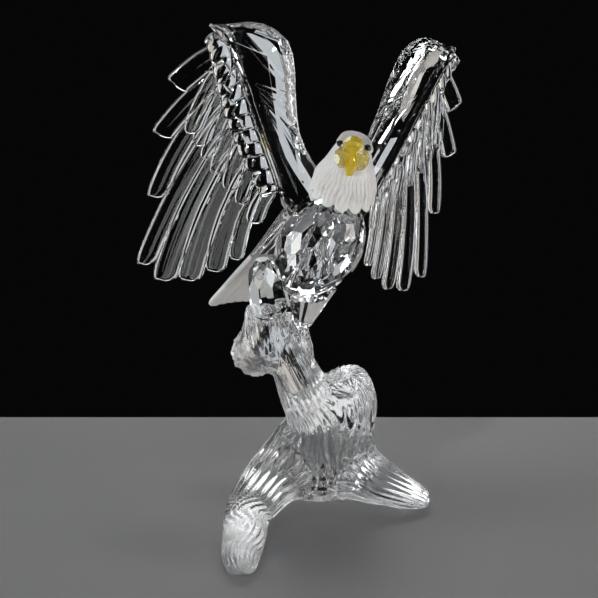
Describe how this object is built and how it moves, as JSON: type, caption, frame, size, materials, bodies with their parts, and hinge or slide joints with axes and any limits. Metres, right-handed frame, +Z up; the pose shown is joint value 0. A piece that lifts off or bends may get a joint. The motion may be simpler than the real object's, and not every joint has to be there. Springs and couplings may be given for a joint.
{
  "type": "crystal eagle figurine",
  "caption": "Cut-crystal eagle with raised wings, frosted head and tail and a yellow beak, landing on a clear glass tree stump with spreading roots.",
  "frame": {"origin": "centre of the stump's foot, on its flat underside", "axes": "+Z up, -Y the way the bird faces (towards the picture's camera), +X to the viewer's right"},
  "size_m": [0.1078, 0.1017, 0.172],
  "materials": {
    "clear_crystal": "polished clear crystal",
    "frosted_crystal": "etched frosted glass",
    "yellow_crystal": "polished yellow crystal",
    "black_glass": "polished black glass bead"
  },
  "bodies": {
    "root": {"stump": "clear_crystal", "body": "clear_crystal", "head": "frosted_crystal", "beak": "yellow_crystal", "right_eye": "black_glass", "left_eye": "black_glass", "tail": "frosted_crystal", "right_thigh": "clear_crystal", "left_thigh": "clear_crystal", "right_wing_arm": "clear_crystal", "left_wing_arm": "clear_crystal", "right_wing_feathers": "clear_crystal", "left_wing_feathers": "clear_crystal"}
  },
  "joints": []
}
